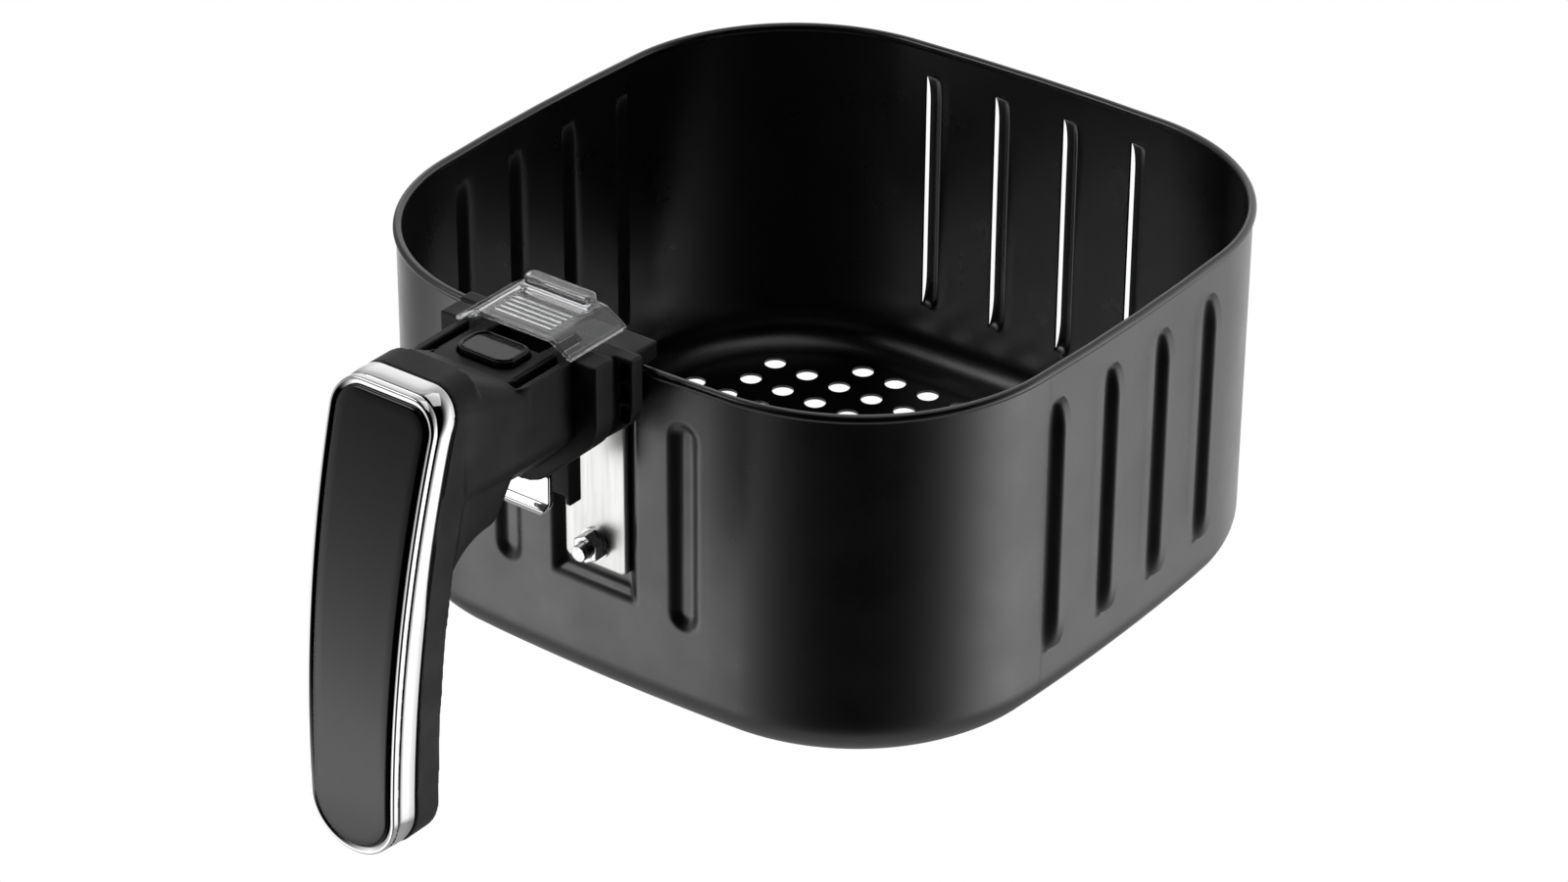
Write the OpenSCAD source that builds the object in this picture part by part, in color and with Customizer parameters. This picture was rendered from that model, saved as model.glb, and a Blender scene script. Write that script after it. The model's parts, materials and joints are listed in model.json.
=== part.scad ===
// Air fryer basket with a hand grip, a sprung release button under a clear
// sliding guard, and a latch under the arm.
// Millimetres, +Z up. The origin is the middle of the basket's underside and
// the handle points towards -Y.

/* [Basket] */
// Outside width and depth of the basket over its rolled rim
basket_w = 220; // [210:1:230]
// Height of the basket from its underside to the top of the rim
basket_h = 113.3; // [112:0.1:114]
// Outside radius of the four upright corners
corner_r = 68; // [60:1:70]
// Radius where the wall turns into the floor
bottom_r = 12.8; // [8:0.1:16]
// Sheet thickness of the wall and the floor
wall_t = 1; // [0.8:0.1:1.2]
// Radius of the rolled bead on the rim
rim_r = 1.4; // [1.2:0.1:1.5]

/* [Floor holes] */
// Diameter of one air hole
hole_d = 6.9; // [4:0.1:8]
// Spacing of the square grid of air holes
hole_pitch = 12.8; // [12:0.1:13.2]
// Radius of the round field that the holes fill
hole_field_r = 109; // [60:1:109]

/* [Wall louvres] */
// Louvres on each of the three louvred walls
louvre_count = 4; // [2:1:4]
// Spacing of the louvres along the wall
louvre_pitch = 25.5; // [20:0.5:26]
// Width of one louvre
louvre_w = 6.6; // [5:0.1:8]
// How far a louvre stands out of the wall
louvre_out = 3.2; // [2:0.1:4]
// Height of a louvre's lower tip
louvre_low = 21; // [20:1:30]
// Height of a louvre's upper tip
louvre_high = 102; // [90:1:102]

/* [Handle wall] */
// Distance of the two stiffening grooves from the middle
groove_x = 32; // [30:1:36]
// Width of a stiffening groove
groove_w = 10; // [8:0.5:11]
// Depth of the grooves and of the bracket's pocket
press_depth = 3; // [2.5:0.1:3]
// Width of the pocket that the bracket lies in
pocket_w = 32; // [28:1:34]

/* [Bracket] */
// Width of the steel bracket
bracket_w = 22; // [20:1:24]
// Thickness of the steel bracket
bracket_t = 2; // [1.5:0.1:2]
// Height of the bracket's lower end
bracket_low = 42; // [40:1:44]
// Height of the nut and bolt
nut_z = 49.5; // [48:0.5:52]
// Width of the nut across its flats
nut_af = 8; // [7:0.5:8]

/* [Grip] */
// Height of the grip's lower end above the basket's underside
grip_low = 1; // [0.5:0.1:3]
// Height of the grip's top
grip_top = 138; // [137:0.5:139]
// Width of the grip at its top
grip_w_top = 36.8; // [36:0.2:38]
// Width of the grip at its lower end
grip_w_low = 31.2; // [30:0.2:33]
// Radius of the grip's two top corners
grip_corner_r = 9.5; // [8:0.5:11]
// Depth of the grip from its front face to its rear face
grip_depth = 18.5; // [18:0.5:19]

/* [Arm and base] */
// Height of the flat top that the guard slides on
deck_z = 129; // [129:0.1:129.2]
// Half-width of the arm
arm_half = 19.7; // [19.2:0.1:20]
// Half-width of the collar where the arm meets the base
collar_half = 27.4; // [26:0.1:28]
// Half-width of the plate behind the drawer slot
plate_half = 30.4; // [29:0.1:31]

/* [Moving parts] */
// Travel of the clear guard towards the grip
cover_travel = 20; // [18:0.5:20]
// Travel of the release button
button_travel = 3; // [2:0.1:3]

/* [Hidden] */
$fn = 96;
eps = 0.01;

// basket: the bead is centred on the sheet, so the wall stands inside the rim
half_w = basket_w / 2;
wall_out = half_w - rim_r + wall_t / 2;
wall_in = wall_out - wall_t;
shell_r = corner_r - (half_w - wall_out);
flat_half = wall_out - shell_r;
hole_reach = floor((wall_out - bottom_r - hole_d/2) / hole_pitch);

// pocket and bracket, as distances out from the middle of the basket
pocket_out = wall_out - press_depth;
pocket_in = pocket_out - wall_t;
pocket_low = 35;
pocket_top = 100;
bracket_out = pocket_out + bracket_t;
bracket_top = 98;
bolt_r = 2.5;
bolt_end = 116;
washer_t = 0.8;
nut_t = 4;
screw_r = 2;
clamp_screw_x = 6;
clamp_screw_z = 95.5;

// grip: its front face is part of a large cylinder whose axis runs along X
face_r = 390;
face_y = 175.8;
face_z = 12.8;
ring_depth = 2;
line_depth = 2.5;
band_depth = 9;
ring_w = 2.1;
band_t = 2;

// handle base, as distances out from the middle of the basket
arm_end = 140.3;
collar_end = 132.5;
slot_end = 128.6;
plate_end = 124;
neck_half = 24.5;
plate_top = 127.3;
clamp_half = 19.5;
clamp_top = 119.5;
clamp_in = 103.8;
deck_front = 163;
fillet_r = 21;
fillet_y = 170.9;
fillet_z = 67;

// the arm's sections on their way back from the grip: distance out,
// half-width, height of the top and of the keel, radius of the top corners
arm_path = [[183.6, 18.2, 137.7, 84, 9], [178, 18.5, 136.4, 86.5, 8.5], [171, 18.9, 134, 87, 7.5],
            [163.5, 19.4, 130.9, 87, 6], [156, arm_half, 128.6, 86.5, 4.5],
            [arm_end, arm_half, 128.6, 85, 2]];

// release button, its well and its spring
button_y = -150;
button_w = 19;
button_d = 12;
button_top = 131;
cap_low = 126.4;
spring_solid = 6.4;
shelf_low = 114;
shelf_top = cap_low - button_travel - spring_solid;
stem_r = 2.5;
stem_bore_r = 2.58;
stem_tip_z = 108.8;
board_t = 2.2;
board_top = deck_z + 0.2;

// clear guard and the slots that its feet run in
cover_front = -142;
cover_back = -118;
cover_low = deck_z + 0.4;
cover_top = 134.8;
foot_front = -141;
foot_len = 7.8;
foot_in = 14.4;
foot_out = 16.6;
slot_gap = 0.8;
slot_front = foot_front - cover_travel - slot_gap;
slot_in = 14.1;
slot_out = 17.1;
undercut_in = 12.5;
undercut_h = 3;
slot_floor = 122;

// latch lever and its pin, and the bays that it swings in
pivot_y = -136.5;
pivot_z = 104;
pin_r = 2;
lever_half = 5.5;
lever_front = -138.4;
lever_back = -120.5;
lever_low = 71.5;
rib_w = 1.7;
tongue_half = 8.6;
tongue_low = 75;
tongue_top = 88;
swing_gap = 0.6;
throat_half = 6.6;
throat_back = -115.5;
throat_low = 70;
nose_front = -155;
nose_low = 96.5;

// opening behind the button
window_half = 9.8;
window_front = -142.6;
window_back = -134;
window_low = 119;
base_screw_x = 16;
base_screw_z = 112;

// ---- outline helpers ----

function unit(v) = v / norm(v);
function half_angle(a, p, b) = acos(unit(a - p) * unit(b - p)) / 2;
function corner_centre(a, p, b, r) =
    p + unit(unit(a - p) + unit(b - p)) * r / sin(half_angle(a, p, b));
function bearing(v) = atan2(v.y, v.x);
function short_turn(from, to) = (to - from + 540) % 360 - 180;

// the points of one corner's arc, from the side that ends there to the next
function corner_arc(a, p, b, r, steps) =
    let (c = corner_centre(a, p, b, r),
         cut = r / tan(half_angle(a, p, b)),
         start = bearing(p + unit(a - p) * cut - c),
         turn = short_turn(start, bearing(p + unit(b - p) * cut - c)))
    [for (k = [0 : steps])
        let (angle = start + turn * k / steps) c + r * [cos(angle), sin(angle)]];

// an outline with each corner rounded to its own radius
module rounded_outline(points, radii, steps = 6) {
    n = len(points);
    polygon([for (i = [0 : n - 1])
        each corner_arc(points[(i + n - 1) % n], points[i], points[(i + 1) % n], radii[i], steps)]);
}

// a rectangle with round corners, centred on the origin
module rounded_rect(w, d, r) {
    rounded_outline([[-w/2, -d/2], [w/2, -d/2], [w/2, d/2], [-w/2, d/2]], [r, r, r, r]);
}

// an upright slot shape with round ends
module slot_outline(w, low, high) {
    translate([-w/2, low + w/2]) square([w, high - low - w]);
    translate([0, low + w/2]) circle(w/2);
    translate([0, high - w/2]) circle(w/2);
}

// stands an outline of the XZ plane up and gives it depth between two
// distances out from the middle of the basket, on the handle side
module plate(near, far) {
    translate([0, -near, 0]) rotate([90, 0, 0]) linear_extrude(far - near) children();
}

// gives an outline of the YZ plane a width along X
module slab(half) {
    translate([-half, 0, 0]) rotate([90, 0, 90]) linear_extrude(2 * half) children();
}

// a rod along -Y that starts near and ends far from the middle of the basket
module rod(x, z, near, far, r) {
    translate([x, -near, z]) rotate([90, 0, 0]) cylinder(h = far - near, r = r);
}

// ---- basket ----

// one side of the pressed shell, from the corner's axis out to the wall
module shell_profile() {
    difference() {
        round_bottom(shell_r, bottom_r);
        translate([0, wall_t]) round_bottom(shell_r - wall_t, bottom_r - wall_t);
    }
    translate([shell_r - wall_t/2, basket_h - rim_r]) circle(rim_r);
}

module round_bottom(r, fillet) {
    square([r - fillet, basket_h - rim_r]);
    translate([0, fillet]) square([r, basket_h - rim_r - fillet]);
    translate([r - fillet, fillet]) intersection() {
        circle(fillet);
        translate([0, -fillet]) square(fillet);
    }
}

module shell_body() {
    for (turn = [0 : 90 : 270]) rotate([0, 0, turn]) {
        translate([flat_half, flat_half, 0]) rotate_extrude(angle = 90) shell_profile();
        translate([flat_half, flat_half, 0]) rotate([90, 0, 0])
            linear_extrude(2 * flat_half) shell_profile();
    }
    translate([-flat_half, -flat_half, 0]) cube([2 * flat_half, 2 * flat_half, wall_t]);
}

module floor_holes() {
    for (i = [-hole_reach : hole_reach], j = [-hole_reach : hole_reach])
        if (norm([i, j]) > 0 && norm([i, j]) * hole_pitch <= hole_field_r)
            translate([i * hole_pitch, j * hole_pitch, -1]) cylinder(h = wall_t + 2, d = hole_d);
}

// a louvre on the wall that faces +X: a ramp that leaves the wall on one side
// and ends in an open edge on the other, with rounded tips
module louvre_shape(inset) {
    reach = inset > 0 ? louvre_w : 0;
    root = wall_in - inset;
    crest = wall_out + louvre_out - inset;
    intersection() {
        translate([0, 0, louvre_low])
            linear_extrude(louvre_high - louvre_low)
                polygon([[root, inset], [crest, louvre_w * 0.6 + inset],
                         [crest, louvre_w + reach], [root, louvre_w + reach]]);
        translate([wall_in - 2, louvre_w/2, 0]) rotate([90, 0, 90])
            linear_extrude(louvre_out + 6)
                slot_outline(louvre_w + 2 * reach - 2 * inset, louvre_low + inset - reach,
                             louvre_high - inset + reach);
    }
}

module louvres(inset) {
    for (turn = [0, 90, 180], i = [0 : louvre_count - 1])
        rotate([0, 0, turn])
            translate([0, (i - (louvre_count - 1) / 2) * louvre_pitch - louvre_w/2, 0])
                louvre_shape(inset);
}

module basket_shell() {
    color("#242426") difference() {
        union() {
            shell_body();
            louvres(0);
            plate(pocket_in, wall_out - wall_t/2)
                translate([-pocket_w/2 - wall_t, pocket_low - wall_t])
                    square([pocket_w + 2 * wall_t, pocket_top - pocket_low + 2 * wall_t]);
            for (side = [-1, 1]) plate(pocket_in, wall_out - wall_t/2)
                translate([side * groove_x, 0]) slot_outline(groove_w + 2 * wall_t, 32, 100);
        }
        plate(pocket_out, wall_out + 1)
            translate([-pocket_w/2, pocket_low]) square([pocket_w, pocket_top - pocket_low]);
        for (side = [-1, 1]) plate(pocket_out, wall_out + 1)
            translate([side * groove_x, 0]) slot_outline(groove_w, 32 + wall_t, 100 - wall_t);
        louvres(wall_t * 0.8);
        floor_holes();
        rod(0, nut_z, pocket_in - 1, pocket_out + 1, bolt_r + 0.1);
        for (side = [-1, 1])
            rod(side * clamp_screw_x, clamp_screw_z, pocket_in - 1, pocket_out + 1, screw_r + 0.1);
    }
}

// ---- bracket and its bolt ----

module handle_bracket() {
    color("#c9c9c6") difference() {
        plate(pocket_out, bracket_out)
            rounded_outline([[-bracket_w/2, bracket_low], [bracket_w/2, bracket_low],
                             [bracket_w/2, bracket_top], [-bracket_w/2, bracket_top]], [2, 2, 2, 2]);
        rod(0, nut_z, pocket_out - 1, bracket_out + 1, bolt_r + 0.1);
        for (side = [-1, 1])
            rod(side * clamp_screw_x, clamp_screw_z, pocket_out - 1, bracket_out + 1, screw_r + 0.1);
    }
}

// a pan-head screw along -Y: its head lies on the near side of head_at
module pan_screw(x, z, head_at, end_at, r, head_r, head_t) {
    rod(x, z, head_at - head_t, head_at, head_r);
    rod(x, z, head_at - eps, end_at, r);
}

module bracket_bolt() {
    color("#d0d0d0") pan_screw(0, nut_z, pocket_in, bolt_end, bolt_r, 4.4, 2.6);
}

module bracket_washer() {
    color("#b8b8b8") difference() {
        rod(0, nut_z, bracket_out, bracket_out + washer_t, nut_af * 0.62);
        rod(0, nut_z, bracket_out - 1, bracket_out + washer_t + 1, bolt_r + 0.1);
    }
}

module bracket_nut() {
    start = bracket_out + washer_t;
    color("#c4c4c4") difference() {
        plate(start, start + nut_t) translate([0, nut_z]) rotate(30)
            circle(d = nut_af / cos(30), $fn = 6);
        rod(0, nut_z, start - 1, start + nut_t + 1, bolt_r + 0.05);
    }
}

// ---- handle base ----

// the section that the arm, collar, neck and plate share: upright sides that
// turn into a rounded keel
module keel(half, top, turn_z, keel_z, turn_r, keel_r, top_r = 0.6) {
    rounded_outline([[-half, top], [-half, turn_z], [0, keel_z], [half, turn_z], [half, top]],
                    [top_r, turn_r, keel_r, turn_r, top_r]);
}

// the throat that the latch swings in: a wide bay for the tongue, open below,
// and narrower ones for the lever and its nose
module throat() {
    bays = [[tongue_half + swing_gap, lever_front - swing_gap, throat_low, tongue_top + 1.6],
            [throat_half, lever_front - swing_gap, throat_low, shelf_low],
            [throat_half, nose_front, nose_low, shelf_low]];
    for (bay = bays)
        translate([-bay[0], bay[1], bay[2]])
            cube([2 * bay[0], throat_back - bay[1], bay[3] - bay[2]]);
}

// the dark opening between the button and the guard
module button_window() {
    translate([-window_half, window_front, window_low])
        cube([2 * window_half, window_back - window_front, 20]);
}

// slots for the guard's feet, wider below than at the deck
module foot_slots() {
    for (side = [0, 1]) mirror([side, 0, 0]) {
        translate([slot_in, slot_front, slot_floor])
            cube([slot_out - slot_in, -collar_end - slot_front, 12]);
        translate([undercut_in, slot_front, slot_floor])
            cube([slot_out - undercut_in, -collar_end - slot_front, undercut_h]);
    }
}

module base_screw_holes() {
    for (side = [-1, 1]) rod(side * base_screw_x, base_screw_z, 100, 156, screw_r + 0.02);
}

module rim_clamp() {
    color("#1d1d1f") difference() {
        union() {
            plate(wall_out + 0.2, plate_end)
                keel(clamp_half, clamp_top, 103, 84, 8, 8);
            plate(clamp_in, wall_out + 0.3)
                translate([-clamp_half, basket_h + 0.3]) square([2 * clamp_half, clamp_top - basket_h - 0.3]);
            plate(clamp_in, half_w - 2 * rim_r - 0.3)
                translate([-clamp_half, 102]) square([2 * clamp_half, clamp_top - 102]);
            plate(bracket_out + 0.05, wall_out + 0.3)
                translate([-10.5, 92]) square([21, 6]);
        }
        plate(half_w - 2 * rim_r - 0.3, half_w + 0.3)
            translate([-clamp_half - 1, 104]) square([2 * clamp_half + 2, basket_h - 103.7]);
        throat();
        for (side = [-1, 1]) {
            rod(side * clamp_screw_x, clamp_screw_z, 100, 114.2, screw_r + 0.02);
            rod(side * base_screw_x, base_screw_z, 100, 113, 3.8);
        }
        base_screw_holes();
    }
}

module clamp_screws() {
    color("#c4c4c4") for (side = [-1, 1])
        pan_screw(side * clamp_screw_x, clamp_screw_z, pocket_in, 114, screw_r, 3.5, 2);
}

module base_collar() {
    color("#1b1b1d") difference() {
        union() {
            plate(collar_end, arm_end) keel(collar_half, deck_z, 105.5, 80.5, 14, 14);
            plate(slot_end, collar_end) keel(neck_half, plate_top, 107, 84, 12, 12);
            plate(plate_end, slot_end) keel(plate_half, plate_top, 108, 83, 8, 14);
        }
        for (side = [-1, 1], low = [107.9, 114.6, 121.3])
            translate([side * 27.7 - 1.6, -slot_end - 1, low]) cube([3.2, 3.5, 4.6]);
        throat();
        button_window();
        foot_slots();
        base_screw_holes();
        translate([-12, pivot_y, pivot_z]) rotate([0, 90, 0]) cylinder(h = 24, r = pin_r);
    }
}

module base_screws() {
    color("#c4c4c4") for (side = [-1, 1])
        pan_screw(side * base_screw_x, base_screw_z, 113, 155.5, screw_r, 3.6, 2.4);
}

// ---- grip and arm ----

// front view of the grip, drawn in by an inset
module grip_outline(inset) {
    wl = grip_w_low/2 - inset;
    wt = grip_w_top/2 - inset;
    low = grip_low + inset;
    top = grip_top - inset;
    rounded_outline([[-wl, low], [wl, low], [wt, top], [-wt, top]],
                    [wl - 0.5, wl - 0.5, grip_corner_r - inset, grip_corner_r - inset], 12);
}

// a layer of the grip between two depths behind its curved front face
module grip_layer(inset, front, back) {
    intersection() {
        plate(150, 230) grip_outline(inset);
        slab(30) intersection() {
            translate([-230, -5]) square([60, 150]);
            translate([face_y, face_z]) difference() {
                circle(face_r - front, $fn = 720);
                circle(face_r - back, $fn = 720);
            }
        }
    }
}

module arm_section(place) {
    plate(place[0], place[0] + eps) keel(place[1], place[2], 105, place[3], 8, 10, place[4]);
}

// the arm narrows and rises towards the grip, with a deck let into its top and
// a round fillet where its underside meets the grip
module arm_body() {
    for (i = [1 : len(arm_path) - 1]) hull() {
        arm_section(arm_path[i - 1]);
        arm_section(arm_path[i]);
    }
    translate([0, -arm_end, deck_z - 12]) linear_extrude(12)
        rounded_outline([[-arm_half, 0], [-arm_half, arm_end - deck_front], [arm_half, arm_end - deck_front],
                         [arm_half, 0]], [0.3, 5, 5, 0.3]);
    slab(12) difference() {
        translate([-fillet_y - fillet_r, fillet_z]) square(fillet_r);
        translate([-fillet_y, fillet_z]) circle(fillet_r);
    }
}

module handle_body() {
    color("#1c1c1e") difference() {
        union() {
            arm_body();
            grip_layer(0.5, ring_depth + 0.05, line_depth - 0.05);
            grip_layer(band_t + 0.05, ring_depth + 0.05, band_depth + 0.5);
            grip_layer(0, band_depth + 0.05, grip_depth);
        }
        translate([-10, button_y - 6.6, shelf_top]) cube([20, 13.2, 20]);
        translate([-13.45, -161.05, board_top - board_t - 0.05]) cube([26.9, 22, 5]);
        translate([0, button_y, 100]) cylinder(h = 20, r = stem_bore_r);
        throat();
        button_window();
        foot_slots();
        base_screw_holes();
        for (z = [34, 64]) {
            rod(0, z, grip_back(z) - 3, grip_back(z) + 3, 4);
            rod(0, z, grip_back(z), grip_back(z) + 12, 1.62);
        }
    }
}

// distance of the grip's rear face from the middle of the basket
function grip_back(z) = sqrt(pow(face_r - grip_depth, 2) - pow(z - face_z, 2)) - face_y;

module grip_screws() {
    color("#3a3a3c") for (z = [34, 64])
        pan_screw(0, z, grip_back(z) + 3, grip_back(z) + 11.5, 1.6, 3.4, 2.2);
}

module trim_band() {
    color("#e6e6e8") difference() {
        grip_layer(0, line_depth, band_depth);
        plate(140, 240) grip_outline(band_t);
    }
}

module trim_ring() {
    color("#ececee") difference() {
        grip_layer(0.4, 0.2, ring_depth);
        plate(140, 240) grip_outline(0.4 + ring_w);
    }
}

module grip_inlay() {
    color("#0a0a0b") grip_layer(0.5 + ring_w, 0, ring_depth);
}

// ---- button, guard and latch ----

module button_plate() {
    color("#202022") difference() {
        translate([-13.4, -161, board_top - board_t]) cube([26.8, 20.65, board_t]);
        translate([0, button_y, 100]) linear_extrude(40) rounded_rect(button_w + 1, button_d + 1, 4.5);
        button_window();
    }
}

module release_button() {
    color("#0c0c0d") {
        translate([0, button_y, cap_low])
            linear_extrude(button_top - cap_low) rounded_rect(button_w, button_d, 4);
        translate([0, button_y, 112]) cylinder(h = cap_low - 112 + eps, r = stem_r);
        translate([0, button_y, stem_tip_z]) cylinder(h = 112 - stem_tip_z + eps, r = 1.5);
    }
}

module button_spring() {
    color("#b0b0b0") translate([0, button_y, shelf_top]) difference() {
        cylinder(h = cap_low - shelf_top, r = 4.4);
        translate([0, 0, -1]) cylinder(h = cap_low - shelf_top + 2, r = 3.4);
    }
}

// front view of the guard: a flat top between two sloping skirts
module cover_outline(inset) {
    low = inset > 0 ? cover_low - 3 : cover_low;
    rounded_outline([[-20.3 + inset, low], [20.3 - inset, low], [20.3 - inset, 130.6 - inset * 0.3],
                     [13.4 - inset * 0.4, cover_top - inset], [-13.4 + inset * 0.4, cover_top - inset],
                     [-20.3 + inset, 130.6 - inset * 0.3]], [0.3, 0.3, 1, 3, 3, 1]);
}

module slide_cover() {
    color([0.9, 0.95, 1, 0.35]) {
        difference() {
            plate(-cover_back, -cover_front) cover_outline(0);
            plate(-cover_back - 1, -cover_front + 1) cover_outline(1.6);
            translate([-11, -127.4, cover_top - 0.6]) cube([22, 2, 2]);
        }
        slab(12) polygon([[-125, cover_top - 0.4], [-123.8, cover_top + 1.4], [-120.2, cover_top + 1.8],
                          [-118.4, cover_top - 0.4]]);
        for (y = [-138.5 : 2.2 : -129])
            translate([-10.5, y, cover_top - 0.4]) cube([21, 0.8, 0.7]);
        for (side = [0, 1]) mirror([side, 0, 0]) {
            translate([foot_in, foot_front, slot_floor + 0.5])
                cube([foot_out - foot_in, foot_len, cover_top - slot_floor - 3.3]);
            translate([undercut_in + 0.5, foot_front, slot_floor + 0.5])
                cube([foot_in - undercut_in, foot_len, undercut_h - 1]);
        }
    }
}

// a bell crank on the pin, with a finger tab that has a rib down each side
module latch_lever() {
    color("#1a1a1c") difference() {
        slab(lever_half) polygon([[-152.5, 105], [-152.5, 108.2], [-132, 108.2], [lever_back, 98.5],
                                  [lever_back, lever_low], [-125.6, lever_low], [-125.6, 92],
                                  [-130.5, 92], [-130.5, tongue_top + 0.05],
                                  [lever_front, tongue_top + 0.05], [lever_front, 101]]);
        translate([-10, pivot_y, pivot_z]) rotate([0, 90, 0]) cylinder(h = 20, r = pin_r + 0.05);
        translate([rib_w - lever_half, -127, 60]) cube([2 * (lever_half - rib_w), 10, 14]);
    }
}

// the tongue that catches the drawer, with a barb along its lower edge
module latch_hook() {
    color("#e2e2e4") intersection() {
        plate(130, 145)
            rounded_outline([[-tongue_half, tongue_low], [tongue_half, tongue_low],
                             [tongue_half, tongue_top], [-tongue_half, tongue_top]], [4.5, 4.5, 0.5, 0.5]);
        slab(tongue_half + 1)
            polygon([[-136.6, tongue_top], [lever_front, tongue_top], [lever_front, 79], [-140, 77.4],
                     [-139.6, tongue_low + 0.6], [-138.6, tongue_low], [-136.6, tongue_low]]);
    }
}

module lever_pin() {
    color("#c0c0c0") translate([-11.9, pivot_y, pivot_z]) rotate([0, 90, 0])
        cylinder(h = 23.8, r = pin_r);
}

module latch_spring() {
    color("#a8a8a8") translate([lever_half + 0.1, pivot_y, pivot_z]) rotate([0, 90, 0]) difference() {
        cylinder(h = 0.9, r = 3.6);
        translate([0, 0, -1]) cylinder(h = 3, r = pin_r + 0.3);
    }
}

basket_shell();
handle_bracket();
bracket_bolt();
bracket_washer();
bracket_nut();
rim_clamp();
clamp_screws();
base_collar();
base_screws();
handle_body();
button_plate();
release_button();
button_spring();
slide_cover();
latch_lever();
latch_hook();
lever_pin();
latch_spring();
trim_band();
trim_ring();
grip_inlay();
grip_screws();
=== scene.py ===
import json
import math

import bmesh
import bpy
from mathutils import Matrix, Vector


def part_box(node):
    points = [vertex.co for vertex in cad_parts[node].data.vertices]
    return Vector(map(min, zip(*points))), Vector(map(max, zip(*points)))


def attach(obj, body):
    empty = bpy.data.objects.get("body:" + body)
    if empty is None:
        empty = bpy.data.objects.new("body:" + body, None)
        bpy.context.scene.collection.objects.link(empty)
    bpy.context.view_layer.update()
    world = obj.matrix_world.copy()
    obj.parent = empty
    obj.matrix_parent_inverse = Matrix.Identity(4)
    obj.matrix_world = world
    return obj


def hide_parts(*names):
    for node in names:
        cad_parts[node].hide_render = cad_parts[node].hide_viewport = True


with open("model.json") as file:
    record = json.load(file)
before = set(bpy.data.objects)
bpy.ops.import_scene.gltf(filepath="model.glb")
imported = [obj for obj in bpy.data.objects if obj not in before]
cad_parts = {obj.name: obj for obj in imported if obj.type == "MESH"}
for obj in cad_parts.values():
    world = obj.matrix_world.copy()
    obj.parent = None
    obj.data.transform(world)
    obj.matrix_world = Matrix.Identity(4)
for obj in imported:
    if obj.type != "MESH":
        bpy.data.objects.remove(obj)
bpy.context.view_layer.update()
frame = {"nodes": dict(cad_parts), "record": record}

# ---------------------------------------------------------------- sizes
MM = 0.001

# basket, from the CAD node's own box
SHELL_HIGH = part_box("basket_shell")[1]
RIM_R = 1.4 * MM
SHEET = 1.0 * MM
HALF = 110 * MM - RIM_R + SHEET / 2
RIM_Z = SHELL_HIGH.z - RIM_R
SIDE_R = 810 * MM
CORNER_R = 65 * MM
BOTTOM_R = 12.8 * MM

# louvres, grooves and the bracket's pocket
LOUVRE_COUNT = 4
LOUVRE_PITCH = 25.5 * MM
LOUVRE_W = 6.6 * MM
LOUVRE_OUT = 3.2 * MM
LOUVRE_LOW = 21 * MM
LOUVRE_HIGH = 102 * MM
LOUVRE_END_R = 11 * MM
# an open louvre edge is closed where its gap is between these two
GAP_LEAST = 0.02 * MM
GAP_MOST = 0.9 * MM
GROOVE_X = 32 * MM
GROOVE_W = 11 * MM
GROOVE_LOW = 32 * MM
GROOVE_HIGH = 100 * MM
GROOVE_EDGE = 4 * MM
PRESS = 3 * MM
GROOVE_PRESS = 1.8 * MM
POCKET_HALF = 16 * MM
POCKET_LOW = 35 * MM
POCKET_HIGH = 100.5 * MM
POCKET_EDGE = 5 * MM

# floor
HOLE_R = 3.45 * MM
HOLE_R_BELOW = 3.7 * MM
HOLE_SIDES = 28
HOLE_PITCH = 12.8 * MM
HOLE_FIELD_R = 109 * MM
HOLE_REACH = 7
FLOOR_EDGE = 13 * MM

# grip: the front face is part of a cylinder about the X axis
FACE_R = 390 * MM
FACE_Y = 175.8 * MM
FACE_Z = 12.8 * MM
GRIP_LOW = 1 * MM
GRIP_TOP = 138 * MM
GRIP_W_LOW = 31.2 * MM
GRIP_W_TOP = 36.8 * MM
GRIP_CORNER = 9.5 * MM
GRIP_LEAN = 0.025

# web under the arm: a quarter circle between the grip's back and the arm's underside
WEB_R = 21 * MM
WEB_Z = 67 * MM
WEB_BACK = -170.9 * MM
WEB_FRONT = -196 * MM
WEB_END = -158 * MM
WEB_TOP = 110 * MM
# its side's lower edge, in mm, at the grip and where it has run into the arm
WEB_RISE = (4, 19)
WEB_ROUND = 4.5 * MM
WEB_KEEL = 3.5 * MM
WEB_SPREAD = 0.5 * MM

# cover's finger ridge
RIDGE_HALF_X = 11.5 * MM
RIDGE_HALF_Y = 2.4 * MM
RIDGE_PLACE = 0.85
RIDGE_SINK = 2.2 * MM
RIDGE_CORNER = 1.4 * MM

# button's lip
LIP_HALF_X = 9.1 * MM
LIP_HALF_Y = 5.6 * MM
LIP_CORNER = 3.7 * MM
LIP_R = 0.5 * MM
LIP_SIDES = 12

# camera: turned round the object, raised and rolled, in degrees
VIEW_YAW = 37.08
VIEW_PITCH = 29.77
VIEW_ROLL = 0.37
VIEW_LENS = 115.8
VIEW_SHIFT = (0.0012, -0.0018)
VIEW_MIDDLE = (0, 0, 0.05663)
# metres from the middle, along the view and to its right and up
VIEW_BACK, VIEW_RIGHT, VIEW_UP = 1.4989, -0.01259, -0.0190

# light: the tent is darkest on this side and brightest on the opposite one
TENT_DARK_SIDE = (0.523, -0.693, 0.497)
TENT_FALLOFF = 2.2
TENT_STRENGTH = 2.8
TENT_MOST = 1.9
# (axis, from and to along it, level at each): dimmer overhead, underneath, far left, behind
TENT_FADES = (("Z", (0.3, 0.75), (1.0, 0.3)), ("Z", (-0.7, -0.52), (0.2, 1.0)),
              ("X", (-0.9, -0.6), (0.15, 1.0)), ("Y", (0.5, 0.8), (1.0, 0.5)))


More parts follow.
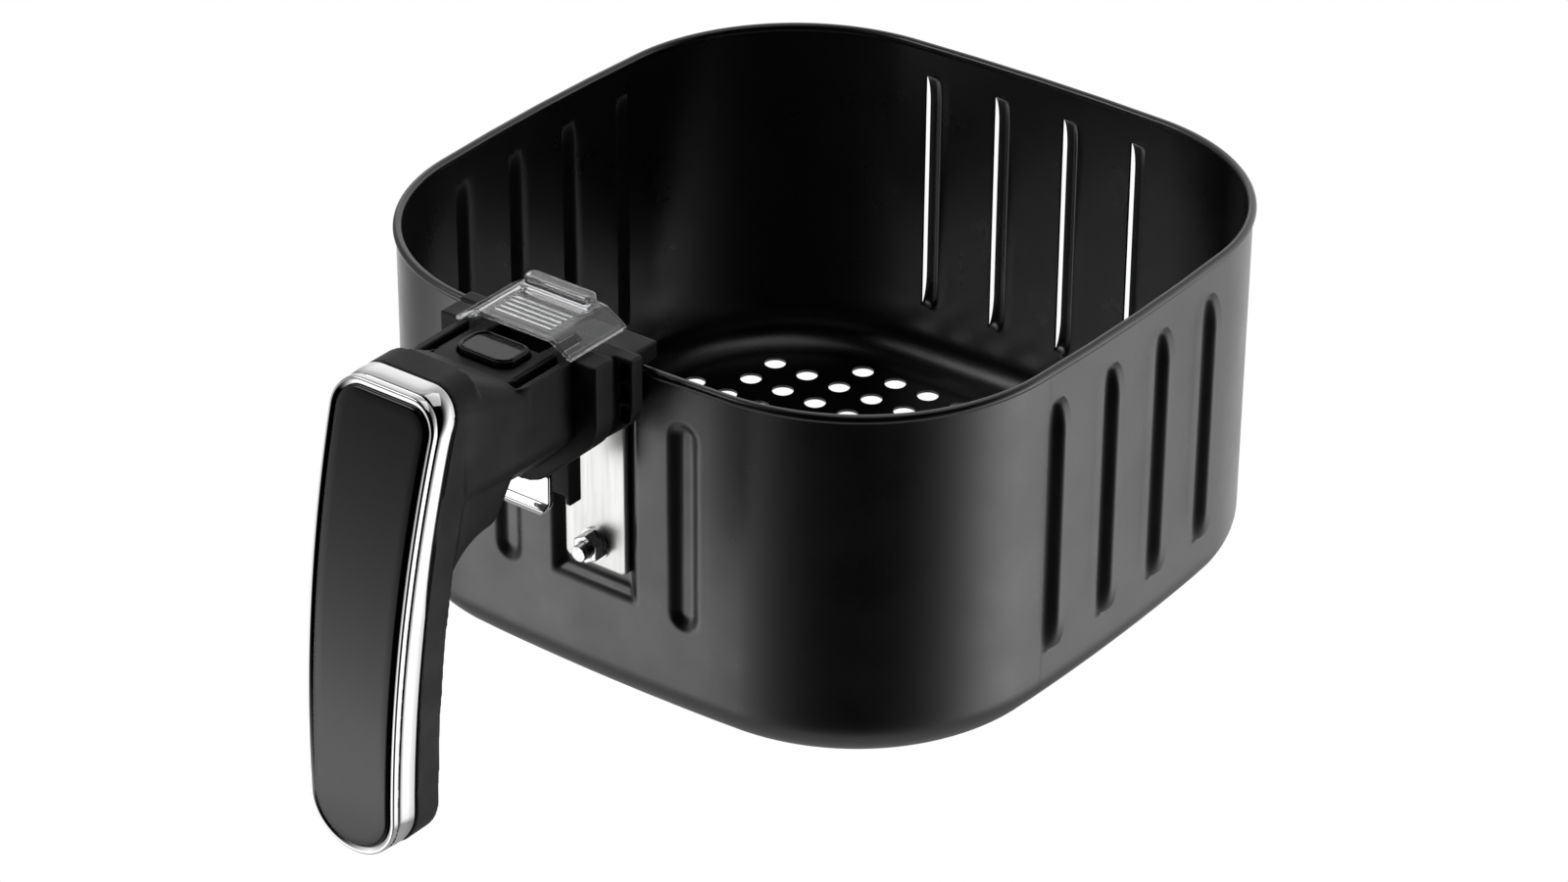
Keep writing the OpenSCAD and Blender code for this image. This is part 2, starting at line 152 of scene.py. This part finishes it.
# ---------------------------------------------------------------- node materials
class Shader:
    """A principled material whose node tree is built by short calls."""

    def __init__(self, name, colour, rough, metallic=0.0, **sockets):
        self.material = bpy.data.materials.new(name)
        self.material.use_nodes = True
        self.nodes = self.material.node_tree.nodes
        self.links = self.material.node_tree.links
        self.bsdf = self.nodes["Principled BSDF"]
        self.set("Base Color", (*colour, 1))
        self.set("Roughness", rough)
        self.set("Metallic", metallic)
        for socket, value in sockets.items():
            self.set(socket.replace("_", " "), value)
        self.coord = self.nodes.new("ShaderNodeTexCoord").outputs["Object"]

    def set(self, socket, value):
        self.bsdf.inputs[socket].default_value = value

    def noise(self, scale, detail=4.0, stretch=(1, 1, 1)):
        mapping = self.nodes.new("ShaderNodeMapping")
        mapping.inputs["Scale"].default_value = stretch
        self.links.new(self.coord, mapping.inputs["Vector"])
        noise = self.nodes.new("ShaderNodeTexNoise")
        noise.inputs["Scale"].default_value = scale
        noise.inputs["Detail"].default_value = detail
        self.links.new(mapping.outputs["Vector"], noise.inputs["Vector"])
        return noise.outputs["Fac"]

    def remap(self, source, low, high, start=0.3, end=0.7):
        node = self.nodes.new("ShaderNodeMapRange")
        node.inputs["From Min"].default_value = start
        node.inputs["From Max"].default_value = end
        node.inputs["To Min"].default_value = low
        node.inputs["To Max"].default_value = high
        self.links.new(source, node.inputs["Value"])
        return node.outputs["Result"]

    def vary_rough(self, source, low, high):
        self.links.new(self.remap(source, low, high), self.bsdf.inputs["Roughness"])

    def vary_colour(self, source, dark, light):
        mix = self.nodes.new("ShaderNodeMix")
        mix.data_type = "RGBA"
        mix.inputs["A"].default_value = (*dark, 1)
        mix.inputs["B"].default_value = (*light, 1)
        self.links.new(self.remap(source, 0, 1), mix.inputs["Factor"])
        self.links.new(mix.outputs["Result"], self.bsdf.inputs["Base Color"])

    def bump(self, source, distance, strength=1.0):
        node = self.nodes.new("ShaderNodeBump")
        node.inputs["Distance"].default_value = distance
        node.inputs["Strength"].default_value = strength
        self.links.new(source, node.inputs["Height"])
        before = self.bsdf.inputs["Normal"].links
        if before:
            self.links.new(before[0].from_socket, node.inputs["Normal"])
        self.links.new(node.outputs["Normal"], self.bsdf.inputs["Normal"])


def nonstick_material():
    """Sprayed non-stick coating: dark satin with a fine orange-peel grain."""
    s = Shader("nonstick_coating", (0.005, 0.005, 0.0055), 0.29, IOR=1.55,
               Specular_IOR_Level=1.0)
    s.vary_colour(s.noise(22, 3), (0.004, 0.004, 0.0045), (0.007, 0.007, 0.0075))
    s.vary_rough(s.noise(60, 5), 0.26, 0.33)
    s.bump(s.noise(2600, 2), 0.00003, 0.5)
    s.bump(s.noise(420, 2), 0.00003, 0.25)
    return s.material


def black_plastic_material():
    """Moulded black plastic with a fine spark-eroded grain."""
    s = Shader("black_plastic", (0.010, 0.010, 0.011), 0.5, Specular_IOR_Level=0.35)
    s.vary_colour(s.noise(35, 3), (0.008, 0.008, 0.009), (0.013, 0.013, 0.014))
    s.vary_rough(s.noise(90, 4), 0.46, 0.58)
    s.bump(s.noise(3800, 2), 0.00004, 0.6)
    return s.material


def gloss_black_material():
    """Polished black plastic with the faintest waviness and hairlines."""
    s = Shader("gloss_black", (0.004, 0.004, 0.0045), 0.09)
    s.vary_colour(s.noise(30, 2), (0.0035, 0.0035, 0.004), (0.006, 0.006, 0.0065))
    s.vary_rough(s.noise(70, 4), 0.07, 0.13)
    s.bump(s.noise(18, 1), 0.0002, 0.05)
    return s.material


def chrome_material():
    """Bright plating over moulded plastic: soft flow waves and faint haze."""
    s = Shader("chrome_plating", (0.82, 0.82, 0.83), 0.05, metallic=1.0)
    s.vary_colour(s.noise(40, 2), (0.78, 0.78, 0.79), (0.86, 0.86, 0.87))
    s.vary_rough(s.noise(120, 4), 0.03, 0.09)
    s.bump(s.noise(45, 1), 0.0003, 0.08)
    return s.material


def sheet_steel_material():
    """Bare rolled steel with fine lengthways rolling lines."""
    s = Shader("mill_steel", (0.88, 0.88, 0.87), 0.36, metallic=1.0)
    s.vary_colour(s.noise(60, 4), (0.84, 0.84, 0.83), (0.91, 0.91, 0.90))
    s.vary_rough(s.noise(700, 3, (1, 1, 0.06)), 0.34, 0.40)
    s.bump(s.noise(1500, 2, (1, 1, 0.05)), 0.00003, 0.35)
    return s.material


def bright_steel_material():
    """Zinc-plated fasteners: bright, with small spangles of tone."""
    s = Shader("bright_steel", (0.66, 0.66, 0.66), 0.2, metallic=1.0)
    s.vary_colour(s.noise(500, 3), (0.56, 0.56, 0.57), (0.74, 0.74, 0.73))
    s.vary_rough(s.noise(800, 3), 0.14, 0.3)
    s.bump(s.noise(1800, 2), 0.00003, 0.2)
    return s.material


def clear_plastic_material():
    """Clear moulded polycarbonate with slight flow waves."""
    s = Shader("clear_plastic", (0.98, 0.985, 0.99), 0.05, Transmission_Weight=0.92, IOR=1.5)
    s.vary_rough(s.noise(150, 3), 0.03, 0.08)
    s.bump(s.noise(160, 2), 0.0002, 0.1)
    return s.material


NONSTICK = nonstick_material()
BLACK = black_plastic_material()
GLOSS = gloss_black_material()
CHROME = chrome_material()
PLATE_STEEL = sheet_steel_material()
BRIGHT = bright_steel_material()
CLEAR = clear_plastic_material()
SLOT_MATERIAL = {
    "nonstick_steel": NONSTICK,
    "black_plastic": BLACK,
    "gloss_black": GLOSS,
    "chrome_trim": CHROME,
    "mill_steel": PLATE_STEEL,
    "bright_steel": BRIGHT,
    "clear_plastic": CLEAR,
}


def finish_cad_nodes():
    """Gives every CAD node that stays in view its procedural material."""
    for entry in frame["record"]["subparts"]:
        node = frame["nodes"][entry["node"]]
        node.data.materials.clear()
        node.data.materials.append(SLOT_MATERIAL[entry["material_slot"]])


# ---------------------------------------------------------------- mesh helpers
def new_piece(name, bm, material, body, nodes=(), smooth_angle=40):
    """Turns a bmesh into a piece that rides on a body and stands for CAD nodes."""
    bmesh.ops.recalc_face_normals(bm, faces=bm.faces)
    mesh = bpy.data.meshes.new(name)
    bm.to_mesh(mesh)
    bm.free()
    mesh.shade_smooth()
    mesh.set_sharp_from_angle(angle=math.radians(smooth_angle))
    piece = bpy.data.objects.new(name, mesh)
    bpy.context.scene.collection.objects.link(piece)
    mesh.materials.append(material)
    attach(piece, body)
    if nodes:
        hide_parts(*nodes)
    return piece


def bridge(bm, ring_a, ring_b, closed=True):
    """Quads between two rows of vertices of the same length."""
    count = len(ring_a)
    for i in range(count if closed else count - 1):
        j = (i + 1) % count
        bm.faces.new((ring_a[i], ring_a[j], ring_b[j], ring_b[i]))


def smoothstep(t):
    t = min(max(t, 0.0), 1.0)
    return t * t * (3 - 2 * t)


def round_end(distance, reach):
    """0 at a tip and 1 from reach onwards, rising as a quarter circle."""
    t = min(max(distance / reach, 0.0), 1.0)
    return math.sqrt(1 - (1 - t) ** 2)


# ---------------------------------------------------------------- basket shell
def corner_offset(half, side_r, corner_r):
    """Where the corner arc's centre lies so that it runs into the bowed side."""
    a = side_r - half
    b = side_r - corner_r
    return (math.sqrt(2 * b * b - a * a) - a) / 2


CORNER_C = corner_offset(HALF, SIDE_R, CORNER_R)
SIDE_END = math.atan2(CORNER_C, CORNER_C + SIDE_R - HALF)


def plan_point(angle, inset, lift):
    """A point of the plan outline where its outward normal has this angle."""
    turn = round(angle / (math.pi / 2))
    local = angle - turn * math.pi / 2
    if abs(local) <= SIDE_END:
        reach = SIDE_R - inset
        x, y = HALF - SIDE_R + reach * math.cos(local), reach * math.sin(local)
    else:
        reach = CORNER_R - inset
        side = math.copysign(CORNER_C, local)
        x, y = CORNER_C + reach * math.cos(local), side + reach * math.sin(local)
    point = Matrix.Rotation(turn * math.pi / 2, 2) @ Vector((x, y))
    return Vector((point.x, point.y, lift))


def across(u):
    """The normal angle at a distance u along a wall from its middle."""
    return math.asin(u / SIDE_R)


def louvre_height(u, z):
    """How far the sheet stands out at a place u across a louvre."""
    rise = smoothstep(u / (0.62 * LOUVRE_W))
    ends = round_end(min(z - LOUVRE_LOW, LOUVRE_HIGH - z), LOUVRE_END_R)
    return LOUVRE_OUT * rise * ends


def press_height(u, z):
    """Depth of the grooves and the bracket's pocket on the handle's wall."""
    depth = 0.0
    for side in (-1, 1):
        centre_z = min(max(z, GROOVE_LOW + GROOVE_W / 2), GROOVE_HIGH - GROOVE_W / 2)
        away = math.hypot(u - side * GROOVE_X, z - centre_z)
        depth = max(depth, GROOVE_PRESS * smoothstep((GROOVE_W / 2 - away) / GROOVE_EDGE))
    edge = min(POCKET_HALF - abs(u), z - POCKET_LOW, POCKET_HIGH - z)
    return -max(depth, PRESS * smoothstep(edge / POCKET_EDGE))


def louvre_columns():
    """(angle, shape, u) for one louvred wall; an open edge has two columns."""
    flat = HALF - 70 * MM
    columns = []
    for i in range(LOUVRE_COUNT):
        start = (i - (LOUVRE_COUNT - 1) / 2) * LOUVRE_PITCH - LOUVRE_W / 2
        columns += [(start + LOUVRE_W * k / 9, "louvre", LOUVRE_W * k / 9) for k in range(10)]
        columns.append((start + LOUVRE_W, "plain", 0))
        if i < LOUVRE_COUNT - 1:
            gap = LOUVRE_PITCH - LOUVRE_W
            columns += [(start + LOUVRE_W + gap * k / 6, "plain", 0) for k in range(1, 6)]
    ends = [(-flat - 1.5 * MM, "plain", 0)], [(flat + 2.5 * MM, "plain", 0)]
    return [(across(u), kind, place) for u, kind, place in ends[0] + columns + ends[1]]


def press_columns():
    """Columns of the handle's wall, close together over its pressed shapes."""
    count = 108
    reach = 41 * MM
    return [(across(-reach + 2 * reach * k / count), "press", 0) for k in range(count + 1)]


def wall_columns():
    columns = []
    for wall in range(4):
        side = press_columns() if wall == 3 else louvre_columns()
        columns += [(wall * math.pi / 2 + angle, kind, u) for angle, kind, u in side]
        first = side[-1][0]
        last = math.pi / 2 - first
        steps = 26
        columns += [(wall * math.pi / 2 + first + (last - first) * k / steps, "plain", 0)
                    for k in range(1, steps)]
    return columns


def wall_heights():
    """Rows up the wall, close together where the louvres end."""
    rows = [15.5, 18, 20]
    rows += [21 + 0.8 * k for k in range(18)]
    rows += [36 + 1.0 * k for k in range(6)]
    rows += [42 + 3.0 * k for k in range(14)]
    rows += [84 + 1.0 * k for k in range(3)]
    rows += [87 + 0.8 * k for k in range(20)]
    rows += [103.5, 106, 109]
    return [r * MM for r in rows]


def profile_rows():
    """(inset, z, inner inset, inner z) of every row from the floor up the wall."""
    rows = [(FLOOR_EDGE, 0.0, FLOOR_EDGE, SHEET)]
    for k in range(12):
        a = math.radians(90 * k / 11)
        inner_r = BOTTOM_R - SHEET
        rows.append((BOTTOM_R * (1 - math.sin(a)), BOTTOM_R * (1 - math.cos(a)),
                     BOTTOM_R - inner_r * math.sin(a), BOTTOM_R - inner_r * math.cos(a)))
    return rows + [(0.0, z, SHEET, z) for z in wall_heights() + [RIM_Z]]


def build_shell():
    bm = bmesh.new()
    inner = bm.verts.layers.float_vector.new("inner")
    columns = wall_columns()
    grid = []
    for inset, z, inner_inset, inner_z in profile_rows():
        ring = []
        for angle, kind, u in columns:
            out = 0.0
            if inset == 0 and kind == "louvre":
                out = louvre_height(u, z)
            elif inset == 0 and kind == "press":
                out = press_height(math.sin(angle - 1.5 * math.pi) * SIDE_R, z)
            vert = bm.verts.new(plan_point(angle, inset - out, z))
            vert[inner] = plan_point(angle, inner_inset - out, inner_z)
            ring.append(vert)
        grid.append(ring)
    count = len(columns)
    for low, high in zip(grid, grid[1:]):
        for c in range(count):
            d = (c + 1) % count
            opening = max((low[c].co - low[d].co).length, (high[c].co - high[d].co).length)
            torn = columns[c][1] == "louvre" and columns[d][1] == "plain"
            if not torn or GAP_LEAST < opening < GAP_MOST:
                bm.faces.new((low[c], low[d], high[d], high[c]))
    bmesh.ops.remove_doubles(bm, verts=bm.verts, dist=0.02 * MM)
    fill_floor(bm, inner)
    thicken(bm, inner)
    return new_piece("basket_shell_sheet", bm, NONSTICK, "basket",
                     ["basket_shell"], 50)


def thicken(bm, inner):
    """Adds the sheet's other skin and closes it along every open edge."""
    edges = [edge for edge in bm.edges if len(edge.link_faces) == 1]
    faces = list(bm.faces)
    other = {vert: bm.verts.new(vert[inner]) for vert in list(bm.verts)}
    for face in faces:
        bm.faces.new([other[vert] for vert in reversed(face.verts)])
    for edge in edges:
        a, b = edge.verts
        bm.faces.new((a, b, other[b], other[a]))


def fill_floor(bm, inner):
    """The flat field of the floor, inside the sheet's lowest open edge, with its air holes."""
    edges = [edge for edge in bm.edges if len(edge.link_faces) == 1
             and max(vert.co.z for vert in edge.verts) < BOTTOM_R / 2]
    loops = []
    for i in range(-HOLE_REACH, HOLE_REACH + 1):
        for j in range(-HOLE_REACH, HOLE_REACH + 1):
            centre = Vector((i * HOLE_PITCH, j * HOLE_PITCH, 0))
            if not 0 < centre.xy.length <= HOLE_FIELD_R:
                continue
            loop = []
            for k in range(HOLE_SIDES):
                a = 2 * math.pi * k / HOLE_SIDES
                out = Vector((math.cos(a), math.sin(a), 0))
                vert = bm.verts.new(centre + HOLE_R_BELOW * out)
                vert[inner] = centre + HOLE_R * out + Vector((0, 0, SHEET))
                loop.append(vert)
            loops.append(loop)
    edges += [bm.edges.new(pair) for loop in loops for pair in zip(loop, loop[1:] + loop[:1])]
    bmesh.ops.triangle_fill(bm, use_beauty=True, use_dissolve=False, edges=edges)


def build_rim():
    """The rolled bead round the basket's mouth, joined on its seam."""
    bm = bmesh.new()
    rings = []
    steps = 220
    for k in range(steps):
        angle = 2 * math.pi * k / steps
        ring = []
        for m in range(14):
            a = 2 * math.pi * m / 14
            inset = SHEET / 2 - RIM_R * math.cos(a)
            ring.append(bm.verts.new(plan_point(angle, inset, RIM_Z + RIM_R * math.sin(a))))
        rings.append(ring)
    for k in range(steps):
        bridge(bm, rings[k], rings[(k + 1) % steps])
    return new_piece("rim_bead", bm, NONSTICK, "basket", (), 80)


# ---------------------------------------------------------------- grip
def face_y(z, depth):
    """Y of the layer that lies this deep behind the grip's curved front."""
    return FACE_Y - math.sqrt((FACE_R - depth) ** 2 - (z - FACE_Z) ** 2)


def grip_loop(inset, points=22):
    """Points (x, z) of the grip's front outline drawn in by an inset."""
    low_r = GRIP_W_LOW / 2 - inset
    low_z = GRIP_LOW + GRIP_W_LOW / 2
    top_r = max(GRIP_CORNER - inset, 0.8 * MM)
    top_x = GRIP_W_TOP / 2 - inset - top_r
    top_z = GRIP_TOP - inset - top_r
    lean = math.atan2(GRIP_W_TOP / 2 - GRIP_W_LOW / 2, top_z - low_z)
    half = []
    for k in range(points + 1):
        a = -math.pi / 2 + (math.pi / 2 - lean) * k / points
        half.append((low_r * math.cos(a), low_z + low_r * math.sin(a)))
    x0, z0 = half[-1]
    x1 = top_x + top_r * math.cos(-lean)
    z1 = top_z + top_r * math.sin(-lean)
    half += [(x0 + (x1 - x0) * k / 30, z0 + (z1 - z0) * k / 30) for k in range(1, 30)]
    for k in range(points // 2 + 1):
        a = -lean + (math.pi / 2 + lean) * k / (points // 2)
        half.append((top_x + top_r * math.cos(a), top_z + top_r * math.sin(a)))
    half += [(top_x * (1 - k / 4), GRIP_TOP - inset) for k in range(1, 5)]
    return half + [(-x, z) for x, z in half[-2:0:-1]]


def grip_ring(bm, inset, depth):
    return [bm.verts.new((x, face_y(z, depth), z)) for x, z in grip_loop(inset)]


def grip_stack(bm, layers, closed):
    """Skins a list of (inset, depth) loops; closed joins the last to the first."""
    rings = [grip_ring(bm, inset * MM, depth * MM) for inset, depth in layers]
    for a, b in zip(rings, rings[1:]):
        bridge(bm, a, b)
    if closed:
        bridge(bm, rings[-1], rings[0])
    return rings


def cap_ring(bm, ring):
    """Closes a loop that is the mirror image of itself with a ladder of quads."""
    n = len(ring)
    half = n // 2
    for k in range(half):
        a, b = ring[k], ring[k + 1]
        c, d = ring[(n - k - 1) % n], ring[(n - k) % n]
        corners = [v for i, v in enumerate((a, b, c, d)) if v not in (a, b, c, d)[:i]]
        if len(corners) > 2:
            bm.faces.new(corners)


def build_inlay():
    bm = bmesh.new()
    rings = grip_stack(bm, [(2.65, 2.0), (2.65, 0.55), (2.8, 0.25), (3.15, 0.06), (3.7, 0.0),
                            (6, 0.0), (9, 0.0), (12, 0.0)], False)
    cap_ring(bm, rings[-1])
    return new_piece("grip_inlay_panel", bm, GLOSS, "basket", ["grip_inlay"])


def build_trim_ring():
    bm = bmesh.new()
    grip_stack(bm, [(0.4, 2.0), (0.4, 0.9), (0.55, 0.35), (0.8, 0.2), (1.4, 0.34), (2.0, 0.54),
                    (2.45, 0.75), (2.5, 2.0)], True)
    return new_piece("trim_ring_bead", bm, CHROME, "basket", ["trim_ring"], 60)


def build_trim_band():
    bm = bmesh.new()
    grip_stack(bm, [(1.9, 2.55), (0.9, 2.6), (0.5, 3.3), (0.25, 4.2), (0.06, 5.1), (0.0, 6.0),
                    (0.0, 8.3), (0.12, 8.7), (0.4, 8.92), (1.9, 8.98)], True)
    return new_piece("trim_band_side", bm, CHROME, "basket", ["trim_band"], 60)


# ---------------------------------------------------------------- moulded and pressed parts
def soften(node, voxel, rounds=3, add=None):
    """A copy of a CAD part whose edges are rounded over, as moulding and pressing leave them.

    add puts another closed solid into the mesh, which the remesh joins to the part."""
    record = frame["record"]
    body = next(name for name, nodes in record["behaviour"]["bodies"].items() if node in nodes)
    slot = next(e["material_slot"] for e in record["subparts"] if e["node"] == node)
    bm = bmesh.new()
    bm.from_mesh(frame["nodes"][node].data)
    bmesh.ops.remove_doubles(bm, verts=bm.verts, dist=0.002 * MM)
    if add:
        add(bm)
    piece = new_piece(node + "_rounded", bm, SLOT_MATERIAL[slot], body, [node])
    remesh = piece.modifiers.new("remesh", "REMESH")
    remesh.mode = "VOXEL"
    remesh.voxel_size = voxel
    remesh.use_smooth_shade = True
    smooth = piece.modifiers.new("round", "SMOOTH")
    smooth.factor = 0.5
    smooth.iterations = rounds
    return piece


def cut_corners(points, rounds=3):
    """Rounds a polyline by cutting its corners; its two ends stay."""
    for _ in range(rounds):
        cut = [points[0]]
        for a, b in zip(points, points[1:]):
            cut += [tuple(0.75 * p + 0.25 * q for p, q in zip(a, b)),
                    tuple(0.25 * p + 0.75 * q for p, q in zip(a, b))]
        points = cut + [points[-1]]
    return points


def loft(bm, rings):
    """A closed solid through rings of points that all have the same number."""
    rows = [[bm.verts.new(point) for point in ring] for ring in rings]
    for a, b in zip(rows, rows[1:]):
        bridge(bm, a, b)
    bm.faces.new(rows[0])
    bm.faces.new(reversed(rows[-1]))


def arm_web(bm):
    """The web where the arm's underside curves down into the grip, as wide as the grip."""
    rings = []
    steps = 60
    for k in range(steps + 1):
        y = WEB_FRONT + (WEB_END - WEB_FRONT) * k / steps
        keel = WEB_Z + math.sqrt(max(WEB_R ** 2 - min(y - WEB_BACK, 0) ** 2, 0))
        turn = smoothstep((y - WEB_BACK) / (WEB_END - WEB_BACK))
        low_w = GRIP_W_TOP / 2 - (GRIP_TOP - keel) * GRIP_LEAN + WEB_SPREAD * turn
        top_w = GRIP_W_TOP / 2 - (GRIP_TOP - WEB_TOP) * GRIP_LEAN + WEB_SPREAD * turn
        rise = (WEB_RISE[0] + (WEB_RISE[1] - WEB_RISE[0]) * turn) * MM
        flat = (1 - turn) * (low_w - WEB_ROUND) + turn * WEB_KEEL
        side = [(top_w, WEB_TOP), (low_w, keel + rise), (flat, keel)]
        outline = cut_corners(side + [(-x, z) for x, z in reversed(side)])
        rings.append([(x, y, z) for x, z in outline])
    loft(bm, rings)


def rounded_rectangle(half_x, half_y, radius, steps=8):
    """Points round a rectangle with rounded corners, about the origin."""
    points = []
    for quarter in range(4):
        cx = (half_x - radius) * (1 if quarter in (0, 3) else -1)
        cy = (half_y - radius) * (1 if quarter < 2 else -1)
        for k in range(steps + 1):
            a = math.pi / 2 * (quarter + k / steps)
            points.append(Vector((cx + radius * math.cos(a), cy + radius * math.sin(a), 0)))
    return points


def finger_ridge(bm):
    """The raised bar along the cover's rear edge that the finger pushes."""
    low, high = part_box("slide_cover")
    middle = Vector((0, low.y + (high.y - low.y) * RIDGE_PLACE, 0))
    base = high.z - RIDGE_SINK
    rings = []
    for inset, z in ((0, base), (0, high.z + 1.2 * MM), (0.25 * MM, high.z + 1.7 * MM),
                     (0.8 * MM, high.z + 1.9 * MM)):
        outline = rounded_rectangle(RIDGE_HALF_X - inset, RIDGE_HALF_Y - inset, RIDGE_CORNER)
        rings.append([middle + point + Vector((0, 0, z)) for point in outline])
    loft(bm, rings)


def build_button_lip():
    """The narrow raised lip round the top of the release button."""
    low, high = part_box("release_button")
    centre = Vector(((low.x + high.x) / 2, (low.y + high.y) / 2, high.z))
    rings = []
    bm = bmesh.new()
    outer = rounded_rectangle(LIP_HALF_X, LIP_HALF_Y, LIP_CORNER)
    for k in range(LIP_SIDES):
        a = 2 * math.pi * k / LIP_SIDES
        grow = 1 - LIP_R * (1 - math.cos(a)) / LIP_HALF_X
        lift = Vector((0, 0, LIP_R * math.sin(a)))
        rings.append([bm.verts.new(centre + point * grow + lift) for point in outer])
    for k in range(LIP_SIDES):
        bridge(bm, rings[k], rings[(k + 1) % LIP_SIDES])
    return new_piece("button_lip", bm, GLOSS, "button", (), 80)


# (CAD node, voxel size): a part with finer edges gets smaller voxels
ROUNDED_PARTS = (("base_collar", 0.4 * MM), ("button_plate", 0.4 * MM),
                 ("rim_clamp", 0.4 * MM), ("latch_lever", 0.35 * MM), ("latch_hook", 0.25 * MM),
                 ("release_button", 0.25 * MM), ("handle_bracket", 0.35 * MM),
                 ("bracket_nut", 0.2 * MM), ("bracket_bolt", 0.2 * MM))


# ---------------------------------------------------------------- stage
def camera():
    """The view: 37 degrees round to the right of the handle, 30 degrees above."""
    yaw, pitch, roll = (math.radians(a) for a in (VIEW_YAW, VIEW_PITCH, VIEW_ROLL))
    back = Vector((math.sin(yaw) * math.cos(pitch), -math.cos(yaw) * math.cos(pitch), math.sin(pitch)))
    right = Vector((math.cos(yaw), math.sin(yaw), 0))
    up = back.cross(right)
    data = bpy.data.cameras.new("camera")
    cam = bpy.data.objects.new("camera", data)
    bpy.context.scene.collection.objects.link(cam)
    data.sensor_width = 36
    data.lens = VIEW_LENS
    data.shift_x, data.shift_y = VIEW_SHIFT
    data.clip_start, data.clip_end = 0.05, 50
    place = Vector(VIEW_MIDDLE) + back * VIEW_BACK + right * VIEW_RIGHT + up * VIEW_UP
    turned = Matrix((right * math.cos(roll) + up * math.sin(roll),
                     up * math.cos(roll) - right * math.sin(roll), back)).transposed()
    cam.matrix_world = Matrix.Translation(place) @ turned.to_4x4()
    bpy.context.scene.camera = cam


def stage_floor():
    """A pale floor that shows white to the camera and lets the light tent in."""
    bm = bmesh.new()
    bmesh.ops.create_grid(bm, x_segments=8, y_segments=8, size=6)
    mesh = bpy.data.meshes.new("floor")
    bm.to_mesh(mesh)
    bm.free()
    floor = bpy.data.objects.new("floor", mesh)
    floor.location.z = -0.0006
    bpy.context.scene.collection.objects.link(floor)
    material = bpy.data.materials.new("white_floor")
    material.use_nodes = True
    tree = material.node_tree
    tree.nodes.clear()
    out = tree.nodes.new("ShaderNodeOutputMaterial")
    mix = tree.nodes.new("ShaderNodeMixShader")
    path = tree.nodes.new("ShaderNodeLightPath")
    seen = tree.nodes.new("ShaderNodeMath")
    seen.operation = "MAXIMUM"
    white = tree.nodes.new("ShaderNodeEmission")
    white.inputs["Strength"].default_value = 1.0
    clear = tree.nodes.new("ShaderNodeBsdfTransparent")
    tree.links.new(path.outputs["Is Camera Ray"], seen.inputs[0])
    tree.links.new(path.outputs["Is Transmission Ray"], seen.inputs[1])
    tree.links.new(seen.outputs[0], mix.inputs["Fac"])
    tree.links.new(clear.outputs[0], mix.inputs[1])
    tree.links.new(white.outputs[0], mix.inputs[2])
    tree.links.new(mix.outputs[0], out.inputs["Surface"])
    mesh.materials.append(material)


def light_tent():
    """Soft white light from low behind the object, fading overhead and to the front."""
    world = bpy.data.worlds.new("tent")
    bpy.context.scene.world = world
    world.use_nodes = True
    tree = world.node_tree
    background = tree.nodes["Background"]
    background.inputs["Color"].default_value = (1, 1, 1, 1)
    coord = tree.nodes.new("ShaderNodeTexCoord").outputs["Generated"]
    dot = tree.nodes.new("ShaderNodeVectorMath")
    dot.operation = "DOT_PRODUCT"
    dot.inputs[1].default_value = TENT_DARK_SIDE
    tree.links.new(coord, dot.inputs[0])
    away = map_range(tree, dot.outputs["Value"], (-0.15, 0.5), (1.0, 0.0))
    curve = math_node(tree, "POWER", away, TENT_FALLOFF)
    level = math_node(tree, "MINIMUM", math_node(tree, "MULTIPLY", curve, TENT_STRENGTH), TENT_MOST)
    split = tree.nodes.new("ShaderNodeSeparateXYZ")
    tree.links.new(coord, split.inputs[0])
    for axis, span, result in TENT_FADES:
        fade = map_range(tree, split.outputs[axis], span, result)
        level = math_node(tree, "MULTIPLY", level, fade)
    tree.links.new(level, background.inputs["Strength"])


def map_range(tree, source, span, result):
    node = tree.nodes.new("ShaderNodeMapRange")
    node.inputs["From Min"].default_value, node.inputs["From Max"].default_value = span
    node.inputs["To Min"].default_value, node.inputs["To Max"].default_value = result
    tree.links.new(source, node.inputs["Value"])
    return node.outputs["Result"]


def math_node(tree, operation, first, second):
    """A math node of two inputs, where the second may be a number or a socket."""
    node = tree.nodes.new("ShaderNodeMath")
    node.operation = operation
    tree.links.new(first, node.inputs[0])
    if isinstance(second, float):
        node.inputs[1].default_value = second
    else:
        tree.links.new(second, node.inputs[1])
    return node.outputs[0]


def softbox(name, place, target, width, height, power):
    data = bpy.data.lights.new(name, "AREA")
    data.shape = "RECTANGLE"
    data.size, data.size_y = width, height
    data.energy = power
    light = bpy.data.objects.new(name, data)
    bpy.context.scene.collection.objects.link(light)
    light.location = place
    light.rotation_euler = (Vector(target) - Vector(place)).to_track_quat("-Z", "Y").to_euler()


bpy.context.scene.view_settings.view_transform = "Standard"
camera()
stage_floor()
light_tent()
softbox("overhead", (0.1, 0.2, 1.3), (0, 0, 0), 0.9, 0.9, 1.5)
softbox("front_left", (-1.0, -1.1, 1.2), (0, -0.12, 0.1), 0.7, 0.7, 4)
finish_cad_nodes()
build_shell()
build_rim()
build_inlay()
build_trim_ring()
build_trim_band()
for part, size in ROUNDED_PARTS:
    soften(part, size)
soften("handle_body", 0.5 * MM, add=arm_web)
soften("slide_cover", 0.25 * MM, 2, add=finger_ridge)
build_button_lip()
